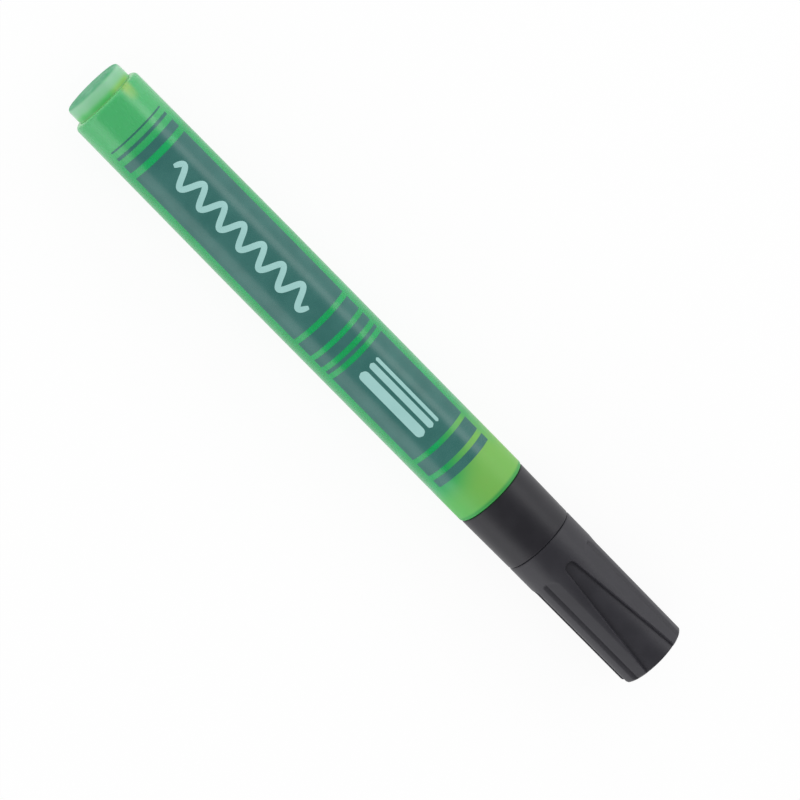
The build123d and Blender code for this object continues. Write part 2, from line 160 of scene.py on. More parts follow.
class Shade:
    """One output of a material's nodes: arithmetic on it adds Math nodes, node() any other node."""

    def __init__(self, tree, socket=None):
        self.tree = tree
        self.socket = socket

    def node(self, kind, settings=None, inputs=None, output=0):
        """Adds a node of a type, sets its settings, then gives its sockets values or links."""
        added = self.tree.nodes.new(kind)
        for name, value in (settings or {}).items():
            setattr(added, name, value)
        self.feed(added, inputs or {})
        return Shade(self.tree, added.outputs[output])

    def feed(self, target, inputs):
        """Gives a node's sockets values, or links to them."""
        for name, value in inputs.items():
            if isinstance(value, Shade):
                self.tree.links.new(value.socket, target.inputs[name])
            else:
                target.inputs[name].default_value = value

    def other(self, output):
        """Another output of the same node."""
        return Shade(self.tree, self.socket.node.outputs[output])

    def math(self, operation, first, second):
        """A Math node's result for two values."""
        return self.node("ShaderNodeMath", {"operation": operation}, {0: first, 1: second})

    def __add__(self, value):
        return self.math("ADD", self, value)

    __radd__ = __add__

    def __sub__(self, value):
        return self.math("SUBTRACT", self, value)

    def __rsub__(self, value):
        return self.math("SUBTRACT", value, self)

    def __mul__(self, value):
        return self.math("MULTIPLY", self, value)

    __rmul__ = __mul__

    def step(self, low, high):
        """Rises smoothly from 0 at the low value to 1 at the high value."""
        limits = {"Value": self, "From Min": low, "From Max": high}
        return self.node("ShaderNodeMapRange", {"interpolation_type": "SMOOTHSTEP"}, limits)

    def blend(self, one, other):
        """Colour that goes from one to the other as this value goes from 0 to 1."""
        inputs = {0: self, 6: one, 7: other}
        return self.node("ShaderNodeMix", {"data_type": "RGBA"}, inputs, output=2)

    def noise(self, scale, detail=2.0, stretch=(1.0, 1.0, 1.0)):
        """Cloudy pattern over this position: the scale is clouds to the millimetre, and a stretch
        below 1 draws them out."""
        inputs = {0: self, 1: stretch}
        placed = self.node("ShaderNodeVectorMath", {"operation": "MULTIPLY"}, inputs)
        inputs = {"Vector": placed, "Scale": scale, "Detail": detail}
        return self.node("ShaderNodeTexNoise", {}, inputs)

    def bump(self, height, strength, depth):
        """Normal of a relief whose full height is a depth in millimetres."""
        inputs = {"Height": height, "Strength": strength, "Distance": depth * millimetre}
        return self.node("ShaderNodeBump", {}, inputs)


def new_finish(name):
    """A material, its shader, and the position on the piece in millimetres."""
    material = bpy.data.materials.new(name)
    material.use_nodes = True
    tree = material.node_tree
    place = Shade(tree).node("ShaderNodeTexCoord", output="Object")
    inputs = {0: place, "Scale": 1.0 / millimetre}
    spot = place.node("ShaderNodeVectorMath", {"operation": "SCALE"}, inputs)
    return material, tree.nodes["Principled BSDF"], spot


def tone(red, green, blue):
    """Shader colour of a colour given as the eye sees it, from 0 to 255: the display's curve is
    undone, which is a power of 2.4 above a short straight foot."""
    seen = np.array([red, green, blue]) / 255.0
    linear = np.where(seen > 0.04045, ((seen + 0.055) / 1.055) ** 2.4, seen / 12.92)
    return (*linear.tolist(), 1.0)


barrel = turned(
    "barrel_tube",
    outline(
        [
            (barrel_rear, barrel_rear_radius, barrel_rear_round),
            (barrel_taper_end, barrel_radius, 0.0),
            (barrel_front, barrel_radius, barrel_front_round),
            (barrel_front, neck_radius, 0.0),
            (neck_end, neck_radius, neck_edge_round),
            (neck_end, neck_bore, neck_edge_round),
            (reservoir_cone_end, neck_bore, 0.0),
            (reservoir_front, reservoir_radius, 0.0),
            (plug_front, reservoir_radius, 0.0),
            (plug_front, plug_bore, 0.0),
            (barrel_rear, plug_bore, 0.0),
        ]
    ),
    closed=True,
)
barrel_green = tone(0, 161, 87)
barrel_light_green = tone(4, 169, 95)
milky_green = tone(71, 179, 109)
joint_light_green = tone(112, 205, 132)
light_streak_green = tone(142, 192, 100)
film_green = tone(116, 183, 78)
film_dull_green = tone(78, 180, 80)
rim_shade_green = tone(22, 152, 64)
milky_fade = (-61.0, -55.0)
joint_glow = 0.3
light_streak_inner_edge = (2.7, 3.8)
light_streak_outer_edge = (4.4, 5.3)
light_streak_fade = (-64.2, -61.5)
light_streak_wander = 4.0
film_edge_station = 20.0
film_edge_softness = 7.5
film_slant = 1.6
film_side_band = (4.6, 6.6)
film_side_lag = 9.0
film_wander = 2.0
film_full = (20.5, 25.5)
film_dull_fade = (-8.0, 0.5)
rim_shade_fade = (barrel_front - 1.1, barrel_front - 0.5)
rim_shade_strength = 0.85
barrel_plastic, barrel_shader, spot = new_finish("barrel_plastic")
axes = spot.node("ShaderNodeSeparateXYZ", {}, {0: spot})
along = axes
across = axes.other("Y")
cloud = spot.noise(scale=0.16, detail=3.0)
fine_cloud = spot.noise(scale=1.3, detail=2.0, stretch=(0.3, 1.0, 1.0))
wet = cloud.step(0.35, 0.7).blend(barrel_green, barrel_light_green)
milk = along.step(*milky_fade).blend(milky_green, wet)
# Painted light: the barrel's rear face, where it meets the plug, is a paler green, as if lit through
# the plastic, and this also lifts the shade of the crevice there.
joint_lightened = along.step(barrel_rear, barrel_rear + joint_glow).blend(joint_light_green, milk)
# Painted light: a pale yellow-green streak near the rear, on the +Y side, stands for light carried
# through the plastic and is painted at a fixed place.
light_streak_side = across.step(*light_streak_inner_edge) - across.step(*light_streak_outer_edge)
light_streak_length = 1.0 - (along + cloud * light_streak_wander).step(*light_streak_fade)
with_light_streak = (light_streak_side * light_streak_length).blend(joint_lightened, light_streak_green)
side_lag = across.step(*film_side_band) * film_side_lag
slanted = along + across * film_slant - side_lag + (cloud - 0.5) * film_wander
film_edge = slanted.step(
    film_edge_station - film_edge_softness,
    film_edge_station + film_edge_softness,
)
film = 1.0 - (1.0 - film_edge) * (1.0 - along.step(*film_full))
# The film turns a duller green from the top towards the -Y side.
film_across = across.step(*film_dull_fade).blend(film_dull_green, film_green)
# Painted shade: the barrel's front edge, where it meets the collar, is a darker green.
rim = along.step(*rim_shade_fade)
barrel_shader_inputs = {
    "Base Color": (rim * rim_shade_strength).blend(film.blend(with_light_streak, film_across), rim_shade_green),
    "Roughness": 0.22 + fine_cloud * 0.1 + film * 0.25,
    "Normal": spot.bump(fine_cloud, strength=0.03, depth=0.02),
    "Specular IOR Level": 0.58,
    "Subsurface Weight": 0.5,
    "Subsurface Radius": (0.3, 0.8, 0.5),
    "Subsurface Scale": millimetre,
}
spot.feed(barrel_shader, barrel_shader_inputs)
barrel.data.materials.append(barrel_plastic)
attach(barrel, "barrel_unit")
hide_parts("barrel")

# Rear plug: a hollow stopper of the same plastic without the dark paint behind it, so it looks
# paler and milky. It is pressed into the barrel's rear until its end meets a step in the bore,
# and two low ribs grip.
rear_end = -70.35
plug_radius = 5.68
plug_head_radius = 5.8
plug_head_length = 0.6
plug_head_step_round = 0.03
plug_cavity = 4.38
plug_cavity_round = 0.4
plug_floor = -68.15
plug_lip_round = 0.2
plug_dome = 0.4
plug_edge_round = 0.8
plug_rib_length = 0.5
plug_rib_round = 0.05
plug_rib_stations = (-63.05, -65.25)
dome_start_share = 0.8
dome_ring_count = 9
dome_radius = (plug_head_radius**2 + plug_dome**2) / (2.0 * plug_dome)
dome_rings = np.linspace(dome_start_share, 0.0, dome_ring_count) * plug_head_radius
dome_stations = rear_end + dome_radius - np.sqrt(dome_radius**2 - dome_rings**2)
plug_corners = [
    (plug_floor, 0.0, 0.0),
    (plug_floor, plug_cavity, plug_cavity_round),
    (plug_front, plug_cavity, plug_lip_round),
    (plug_front, plug_radius, plug_lip_round),
]
for rib in plug_rib_stations:
    plug_corners += [
        (rib + plug_rib_length, plug_radius, 0.0),
        (rib + plug_rib_length, plug_bore, plug_rib_round),
        (rib, plug_bore, plug_rib_round),
        (rib, plug_radius, 0.0),
    ]
plug_corners += [
    (barrel_rear + plug_head_length, plug_radius, 0.0),
    (barrel_rear + plug_head_length, plug_head_radius, plug_head_step_round),
    (rear_end + plug_dome, plug_head_radius, plug_edge_round),
]
plug_corners += [(station, ring, 0.0) for station, ring in zip(dome_stations, dome_rings)]
plug = turned("rear_plug_stopper", outline(plug_corners))
face_green = tone(92, 176, 130)
face_light_patch_green = tone(124, 193, 152)
edge_highlight_green = tone(156, 212, 176)
side_green = tone(150, 214, 170)
deep_green = tone(98, 212, 120)
deep_light_streak_green = tone(146, 214, 106)
deep_joint_light_green = tone(150, 232, 152)
face_fade = (-69.95, -69.45)
edge_highlight_fade = (-69.3, -68.5)
deep_fade = (-68.4, -67.3)
deep_light_streak_inner_edge = (0.8, 3.0)
deep_light_streak_outer_edge = (5.0, 5.7)
plug_plastic, plug_shader, spot = new_finish("plug_plastic")
axes = spot.node("ShaderNodeSeparateXYZ", {}, {0: spot})
along = axes
across = axes.other("Y")
cloud = spot.noise(scale=0.5, detail=3.0)
# The end face is a darker green, with pale cloudy patches of painted light.
end_face = cloud.step(0.3, 0.75).blend(face_green, face_light_patch_green)
# Painted highlight: a slightly paler band on the plug's rounded rear edge.
side = along.step(*edge_highlight_fade).blend(edge_highlight_green, side_green)
matt = 1.0 - along.step(*face_fade)
outer_end = matt.blend(side, end_face)
# Painted light: the streak of light carried through the plastic goes on inside the plug, on the +Y
# side.
light_streak_side = across.step(*deep_light_streak_inner_edge) - across.step(*deep_light_streak_outer_edge)
with_light_streak = light_streak_side.blend(deep_green, deep_light_streak_green)
# Painted light: paler green just inside the barrel's rear face, where the plug meets it, as if lit
# through the plastic, and this also lifts the shade of the joint.
by_joint_lightened = along.step(barrel_rear - joint_glow, barrel_rear).blend(with_light_streak, deep_joint_light_green)
plug_shader_inputs = {
    "Base Color": along.step(*deep_fade).blend(outer_end, by_joint_lightened),
    "Roughness": 0.24 + cloud * 0.12 + matt * 0.5,
    "Normal": spot.bump(cloud, strength=0.2, depth=0.03),
    "Specular IOR Level": 0.3,
    "Subsurface Weight": 0.8,
    "Subsurface Radius": (0.8, 1.6, 1.0),
    "Subsurface Scale": millimetre,
    "Transmission Weight": 0.2,
}
spot.feed(plug_shader, plug_shader_inputs)
plug.data.materials.append(plug_plastic)
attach(plug, "barrel_unit")
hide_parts("rear_plug")

# Paint: green paint that lies level in the reservoir, in the plug's hollow and round the valve,
# with air above it. It leaves the path of the mixing balls free, and it creeps up a little where
# it meets the wall.
paint_radius = 5.55
paint_level = 2.6
paint_creep = 0.25
paint_creep_width = 0.5
paint_gap = 0.05
ball_path_radius = 2.4
ball_path_drop = 3.2
path_arch_share = 0.7
valve_pocket_radius = 4.7
valve_pocket_rear = 16.75
band_columns = 121


def creeping(across, edge):
    """Height of the paint's face: level, and rising in an exponential curve over the last stretch
    before the wall."""
    return paint_level + paint_creep * np.exp((np.abs(across) - edge) / paint_creep_width)


def poured(start, end, inner, outer):
    """Grid of a body of paint: the band between two curves across the marker, carried from one
    station to another."""
    curves = np.stack([inner, outer, outer, inner])
    stations = np.array([start, start, end, end])[:, None, None]
    stations = np.broadcast_to(stations, curves.shape[:2] + (1,))
    return np.concatenate([stations, curves[:, :, :1], curves[:, :, 1:] + axis_height], axis=2)


def round_points(radius, turn):
    """Points (across, height) of a circle round the marker's axis, at turns from straight up."""
    return radius * np.stack([np.sin(turn), np.cos(turn)], axis=1)


level_edge = math.sqrt(paint_radius**2 - paint_level**2)
path_angle = math.pi - math.asin(ball_path_radius / paint_radius)
turn = np.linspace(-path_angle, path_angle, band_columns)
reach = np.minimum(paint_radius, paint_level / np.maximum(np.cos(turn), same_place))
reach = np.where(np.cos(turn) > 0.0, reach, paint_radius)
surface_y = reach * np.sin(turn)
level_z = creeping(surface_y, level_edge)
surface_z = np.where(reach < paint_radius, level_z, reach * np.cos(turn))
pool_outer = np.stack([surface_y, surface_z], axis=1)
path_share = np.linspace(-1.0, 1.0, band_columns)
path_turn = np.clip(path_share / path_arch_share, -1.0, 1.0) * math.pi / 2.0
path_leg = np.clip(np.abs(path_share) - path_arch_share, 0.0, None) / (1.0 - path_arch_share)
path_foot = math.sqrt(paint_radius**2 - ball_path_radius**2) - ball_path_drop
path_z = ball_path_radius * np.cos(path_turn) - ball_path_drop - path_leg * path_foot
pool_inner = np.stack([ball_path_radius * np.sin(path_turn), path_z], axis=1)
hollow_radius = plug_cavity - paint_gap
hollow_edge = math.sqrt(hollow_radius**2 - paint_level**2)
hollow_angle = math.acos(paint_level / hollow_radius)
hollow_turn = np.linspace(hollow_angle, 2.0 * math.pi - hollow_angle, band_columns)
hollow_outer = round_points(hollow_radius, hollow_turn)
hollow_y = np.linspace(hollow_edge, -hollow_edge, band_columns)
hollow_z = creeping(hollow_y, hollow_edge) - paint_creep
hollow_inner = np.stack([hollow_y, hollow_z], axis=1)
trough_angle = math.acos(paint_level / paint_radius)
pocket_angle = math.acos(paint_level / valve_pocket_radius)
half_columns = band_columns // 2
trough_half = round_points(paint_radius, np.linspace(trough_angle, math.pi, half_columns))
pocket_half = round_points(valve_pocket_radius, np.linspace(pocket_angle, math.pi, half_columns))
middle = (trough_half[:1] + pocket_half[:1]) / 2.0
trough_half = np.concatenate([middle, trough_half])
pocket_half = np.concatenate([middle, pocket_half])
other_side = np.array([-1.0, 1.0])
trough_outer = np.concatenate([trough_half, (trough_half * other_side)[-2::-1]])
trough_inner = np.concatenate([pocket_half, (pocket_half * other_side)[-2::-1]])
paint = make_piece(
    "paint_pool",
    [
        poured(plug_floor + paint_gap, plug_front - paint_gap, hollow_inner, hollow_outer),
        poured(plug_front + paint_gap, valve_pocket_rear - paint_gap, pool_inner, pool_outer),
        poured(valve_pocket_rear, reservoir_front - paint_gap, trough_inner, trough_outer),
    ],
    wrap_rows=True,
)
paint_green = tone(18, 138, 70)
paint_light_green = tone(34, 160, 84)
paint_finish, paint_shader, spot = new_finish("paint")
swirl = spot.noise(scale=0.25, detail=4.0, stretch=(0.4, 1.0, 1.0))
paint_shader_inputs = {
    "Base Color": swirl.step(0.3, 0.7).blend(paint_green, paint_light_green),
    "Roughness": 0.08 + swirl * 0.1,
    "Coat Weight": 0.3,
}
spot.feed(paint_shader, paint_shader_inputs)
paint.data.materials.append(paint_finish)
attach(paint, "barrel_unit")
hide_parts("paint_charge")

# Mixing balls: two polished steel balls that rattle in the paint and stir it.
# They are ground and tumbled, so they only carry faint scratches and a film of paint.
steel_grey = tone(186, 188, 190)
steel_smear_green = tone(120, 168, 140)
steel, steel_shader, spot = new_finish("steel")
scratch = spot.noise(scale=4.0, detail=4.0, stretch=(1.0, 6.0, 1.0))
smear = spot.noise(scale=0.35, detail=3.0)
steel_shader_inputs = {
    "Base Color": smear.step(0.5, 0.75).blend(steel_grey, steel_smear_green),
    "Metallic": 1.0 - smear.step(0.55, 0.8) * 0.7,
    "Roughness": 0.12 + scratch * 0.2,
    "Normal": spot.bump(scratch, strength=0.15, depth=0.01),
}
spot.feed(steel_shader, steel_shader_inputs)


def dress(node, material):
    """Puts a material on a solid that keeps its own shape."""
    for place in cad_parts[node].material_slots:
        place.material = material


dress("mixing_ball_rear", steel)
dress("mixing_ball_front", steel)

# Valve unit: housing, retainer and stem are moulded in natural white plastic, seal and gasket cut
# from black rubber. The housing's flange is clamped between the barrel's neck and the front
# section, with the gasket under it.
natural_white = tone(226, 226, 216)
natural_grey = tone(206, 216, 204)
rubber_black = tone(34, 34, 35)
rubber_bloom_grey = tone(58, 58, 58)
valve_plastic, valve_shader, spot = new_finish("valve_plastic")
cloud = spot.noise(scale=0.4, detail=3.0)
grain = spot.noise(scale=6.0, detail=2.0)
valve_shader_inputs = {
    "Base Color": cloud.blend(natural_white, natural_grey),
    "Roughness": 0.38 + grain * 0.2,
    "Normal": spot.bump(grain, strength=0.2, depth=0.01),
    "Subsurface Weight": 0.3,
    "Subsurface Radius": (0.8, 0.8, 0.7),
    "Subsurface Scale": millimetre,
}
spot.feed(valve_shader, valve_shader_inputs)
for node in ("valve_housing", "spring_retainer", "valve_stem"):
    dress(node, valve_plastic)
seal_rubber, seal_shader, spot = new_finish("seal_rubber")
bloom = spot.noise(scale=1.2, detail=4.0)
seal_shader_inputs = {
    "Base Color": bloom.step(0.45, 0.75).blend(rubber_black, rubber_bloom_grey),
    "Roughness": 0.6 + bloom * 0.25,
    "Normal": spot.bump(bloom, strength=0.3, depth=0.02),
}
spot.feed(seal_shader, seal_shader_inputs)
for node in ("valve_seal", "sealing_gasket"):
    dress(node, seal_rubber)

# Valve spring: wound from round steel wire, it stands between the retainer and the stem's head and
# closes the valve. Its ends are cut square, and it is squeezed towards the retainer when the nib
# is pressed.
retainer_front = 20.35
spring_length = 8.0
spring_mean_radius = 2.5
spring_wire_radius = 0.25
spring_pitch = 1.3
spring_end_gap = 0.05
spring_rows = 321
wire_columns = 14
spring_start = retainer_front + spring_end_gap + spring_wire_radius
spring_run = spring_length - 2.0 * (spring_end_gap + spring_wire_radius)
winding = np.linspace(0.0, spring_run / spring_pitch * 2.0 * np.pi, spring_rows)[:, None]
lead = spring_pitch / (2.0 * np.pi)
wire_turn = np.linspace(0.0, 2.0 * np.pi, wire_columns, endpoint=False)[None, :]
wire_radius = np.full_like(winding, spring_wire_radius)
winding = np.concatenate([winding[:1], winding, winding[-1:]])
wire_radius = np.concatenate([[[0.0]], wire_radius, [[0.0]]])
outwards = spring_mean_radius + wire_radius * np.cos(wire_turn)
lean = wire_radius * np.sin(wire_turn)
slope = math.hypot(spring_mean_radius, lead)
forwards = lean * spring_mean_radius / slope
backwards_round = lean * lead / slope
spring_grid = np.stack(
    [
        spring_start + lead * winding + forwards,
        outwards * np.cos(winding) + backwards_round * np.sin(winding),
        axis_height + outwards * np.sin(winding) - backwards_round * np.cos(winding),
    ],
    axis=-1,
)
spring = make_piece("valve_spring_wire", [spring_grid], wrap_columns=True)
wire_grey = tone(150, 152, 155)
wire_light_grey = tone(196, 197, 199)
spring_wire, wire_shader, spot = new_finish("spring_wire")
drawn = spot.noise(scale=5.0, detail=3.0)
wire_shader_inputs = {
    "Base Color": drawn.blend(wire_grey, wire_light_grey),
    "Metallic": 1.0,
    "Roughness": 0.18 + drawn * 0.2,
}
spot.feed(wire_shader, wire_shader_inputs)
spring.data.materials.append(spring_wire)
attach(spring, "barrel_unit")
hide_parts("valve_spring")
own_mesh(spring)

# Front section: collar, cap seat and nose in one moulding of black plastic, snapped over the
# barrel's neck. The cap grips the low bead on the seat, and three grooves in the nose let paint
# and air past the nib.
cap_rim = 40.95
collar_rear_radius = 7.125
collar_front_radius = 7.0
collar_edge_round = 0.35
socket_radius = 5.85
socket_end = 38.55
seat_radius = 5.65
seat_end = 50.95
seat_end_round = 0.15
seat_bead_station = 43.15
seat_bead_half = 0.4
seat_bead_radius = 5.85
seat_bead_round = 0.4
nose_base_radius = 4.5
nose_base_end = 53.45
nose_root_round = 0.1
nose_shoulder_round = 0.5
nose_tip = 58.95
nose_tip_radius = 3.2
nose_tip_round = 0.4
nose_guide_rear = 52.95
nib_bore = 2.3
front_chamber_radius = 3.2
feed_groove_count = 3
feed_groove_half_width = 0.3
feed_groove_depth = 0.4
front_columns = 180
front_points = outline(
    [
        (barrel_front, socket_radius, 0.0),
        (barrel_front, collar_rear_radius, collar_edge_round),
        (cap_rim, collar_front_radius, collar_edge_round),
        (cap_rim, seat_radius, 0.0),
        (seat_bead_station - seat_bead_half, seat_radius, 0.0),
        (seat_bead_station, seat_bead_radius, seat_bead_round),
        (seat_bead_station + seat_bead_half, seat_radius, 0.0),
        (seat_end, seat_radius, seat_end_round),
        (seat_end, nose_base_radius, nose_root_round),
        (nose_base_end, nose_base_radius, nose_shoulder_round),
        (nose_tip, nose_tip_radius, nose_tip_round),
        (nose_tip, nib_bore, 0.0),
        (nose_guide_rear, nib_bore, 0.0),
        (nose_guide_rear, front_chamber_radius, 0.0),
        (socket_end, front_chamber_radius, 0.0),
        (socket_end, socket_radius, 0.0),
    ]
)
front_turn = np.linspace(0.0, 2.0 * np.pi, front_columns, endpoint=False)[None, :]
feed_turn = np.abs((front_turn * feed_groove_count / (2.0 * np.pi) + 0.5) % 1.0 - 0.5)
feed_turn = feed_turn * 2.0 * np.pi / feed_groove_count
in_groove = feed_turn * nib_bore < feed_groove_half_width
in_guide = np.abs(front_points[:, 1:] - nib_bore) < same_place
front_radius = front_points[:, 1:] + feed_groove_depth * in_groove * in_guide
front_grid = around(front_points[:, :1], front_radius, front_turn)
front = make_piece("front_moulding", [front_grid], wrap_rows=True, wrap_columns=True)


def moulded_black(name, dark, light, roughness, gloss):
    """Fine-grained black plastic, hazy in patches between two tones and rubbed lengthwise."""
    material, shader, spot = new_finish(name)
    grain = spot.noise(scale=7.0, detail=3.0)
    haze = spot.noise(scale=0.3, detail=3.0)
    rub = spot.noise(scale=1.5, detail=2.0, stretch=(0.15, 1.0, 1.0))
    shader_inputs = {
        "Base Color": haze.step(0.35, 0.7).blend(dark, light),
        "Roughness": roughness + haze * 0.08 + rub * 0.06,
        "Normal": spot.bump(grain, strength=0.25, depth=0.012),
        "Specular IOR Level": gloss,
    }
    spot.feed(shader, shader_inputs)
    return material


front_plastic = moulded_black(
    "black_plastic",
    dark=tone(34, 33, 39),
    light=tone(38, 37, 43),
    roughness=0.36,
    gloss=0.38,
)
front.data.materials.append(front_plastic)
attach(front, "barrel_unit")
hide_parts("front_section")

# Nib: a rod of bonded polyester fibre, ground to a bullet tip and held in the cup of the valve stem.
# The fibres run lengthwise, and paint that has soaked in darkens the tip.
nib_rear = 34.75
nib_tip = 64.95
nib_radius = 2.2
nib_rear_chamfer = 0.4
nib_bullet_length = 4.2
nib_shoulder_round = 0.6
nib_tip_radius = 1.1
nib_tip_rows = 12
nib_columns = 96
tip_lead = 0.02
tip_flare = 0.007
tip_centre = nib_tip - nib_tip_radius
tip_turn = np.linspace(0.0, np.pi / 2.0, nib_tip_rows)
tip_stations = tip_centre + nib_tip_radius * np.sin(tip_turn)
tip_arc = np.stack([tip_stations, nib_tip_radius * np.cos(tip_turn)], axis=1)
tip_arc[-1, 1] = 0.0
nib_body = outline(
    [
        (nib_rear, 0.0, 0.0),
        (nib_rear, nib_radius - nib_rear_chamfer, 0.0),
        (nib_rear + nib_rear_chamfer, nib_radius, 0.0),
        (nib_tip - nib_bullet_length, nib_radius, nib_shoulder_round),
        (tip_centre - tip_lead, nib_tip_radius + tip_flare, 0.0),
    ]
)
nib = turned("nib_rod", np.concatenate([nib_body, tip_arc]), columns=nib_columns)
fibre_grey = tone(205, 204, 190)
fibre_white = tone(236, 235, 225)
soaked_green = tone(58, 168, 104)
soak_fade = (nib_tip - 5.5, nib_tip - 1.0)
soak_wander = 1.5
soak_strength = 0.8
nib_fibre, nib_shader, spot = new_finish("nib_fibre")
along = spot.node("ShaderNodeSeparateXYZ", {}, {0: spot})
fibre = spot.noise(scale=9.0, detail=3.0, stretch=(0.05, 1.0, 1.0))
soak = (along + fibre * soak_wander).step(*soak_fade)
pale_fibre = fibre.blend(fibre_grey, fibre_white)
nib_shader_inputs = {
    "Base Color": (soak * soak_strength).blend(pale_fibre, soaked_green),
    "Roughness": 0.75 + fibre * 0.15,
    "Normal": spot.bump(fibre, strength=0.5, depth=0.05),
}
spot.feed(nib_shader, nib_shader_inputs)
nib.data.materials.append(nib_fibre)
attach(nib, "nib_unit")
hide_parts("nib")

# Cap liner: a soft white cup pressed into the end of the cap, whose chamfered lip seals round the
# base of the nose. It keeps the nib from drying and only shows in the mouth of the cap when that
# is off.
liner_rear = 51.75
liner_floor = 67.95
liner_floor_round = 0.5
liner_radius = 5.3
liner_bore = 4.55
liner_lip = 0.3
liner_lip_round = 0.05
liner_mouth_round = 0.1
liner_end_round = 0.3
cap_floor = 68.95
liner = turned(
    "cap_liner_cup",
    outline(
        [
            (liner_floor, 0.0, 0.0),
            (liner_floor, liner_bore, liner_floor_round),
            (liner_rear + liner_lip, liner_bore, 0.0),
            (liner_rear, liner_bore + liner_lip, liner_lip_round),
            (liner_rear, liner_radius, liner_mouth_round),
            (cap_floor, liner_radius, liner_end_round),
            (cap_floor, 0.0, 0.0),
        ]
    ),
)
liner_white = tone(222, 222, 216)
liner_grey = tone(204, 206, 200)
liner_plastic, liner_shader, spot = new_finish("liner_plastic")
cloud = spot.noise(scale=0.5, detail=3.0)
grain = spot.noise(scale=5.0, detail=2.0)
liner_shader_inputs = {
    "Base Color": cloud.blend(liner_white, liner_grey),
    "Roughness": 0.42 + grain * 0.15,
    "Normal": spot.bump(grain, strength=0.2, depth=0.01),
    "Subsurface Weight": 0.4,
    "Subsurface Radius": (0.8, 0.8, 0.8),
    "Subsurface Scale": millimetre,
}
spot.feed(liner_shader, liner_shader_inputs)
liner.data.materials.append(liner_plastic)
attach(liner, "cap")
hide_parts("cap_liner")

# Cap shell: moulded in black plastic like the collar and pushed on until its rim meets the collar.
# Sunk panels run to its closed end, two that widen and two parallel ones. On both sides of a widening
# panel a nearly flat facet ends in a finger notch: a steep edge, then a wall that rises to the side.
cap_end = 70.35
cap_rim_radius = 7.0
cap_end_radius = 6.9
cap_bore = 5.95
cap_step = 51.35
cap_step_radius = 5.35
cap_floor_round = 0.2
cap_mouth_round = 0.15
cap_rim_round = 0.4
cap_end_round = 0.7
cap_end_rings = (5.0, 2.5, 0.0)
cap_turn = math.radians(6.0)
flute_start = 45.95
panel_wall = 0.2
panel_wall_power = 4
panel_edge_round = 0.12
panel_line_least = 0.35
top_panel = {"depth": 0.65, "point": 1.2, "spread": 0.105, "delay": 0.0, "groove_side": -1.0}
side_panel = {"depth": 0.45, "point": 2.0, "spread": 0.0, "delay": 0.7, "groove_side": 1.0}
facet_start = -1.95
facet_slope = 0.13
facet_flatten = 0.465
facet_start_curve = 0.45
facet_start_middle = -0.3
notch_edge = 0.2
notch_bottom = 0.35
notch_end = 1.5
notch_depth = 0.58
notch_start_curve = 1.0
notch_start_middle = 0.75
groove_start = 0.2
groove_start_length = 0.7
wall_foot_margin = 0.03
wall_top_margin = 0.01
groove_margin = 0.05
groove_line_gap = 0.1
notch_side_columns = [6, 10, 4, 10, 2, 2]
facet_side_columns = [6, 10, 4, 14]
fine_run_end = 49.0
fine_run_rows = 46
fine_run_lead = 0.08
coarse_run_start = 49.2
coarse_run_rows = 44
run_start = flute_start - 0.6
run_end = cap_end - 0.75
close_lead = 0.02
eighth = math.pi / 4.0
quarter = math.pi / 2.0


def cap_cone(station):
    """Radius of the cap's plain surface: a straight line from the rim to the closed end."""
    narrowing = cap_end_radius - cap_rim_radius
    return cap_rim_radius + narrowing * (station - cap_rim) / (cap_end - cap_rim)


def smooth(share):
    """Rises from 0 to 1 without a corner at either end: three squares less two cubes."""
    share = np.clip(share, 0.0, 1.0)
    return share * share * (3.0 - 2.0 * share)


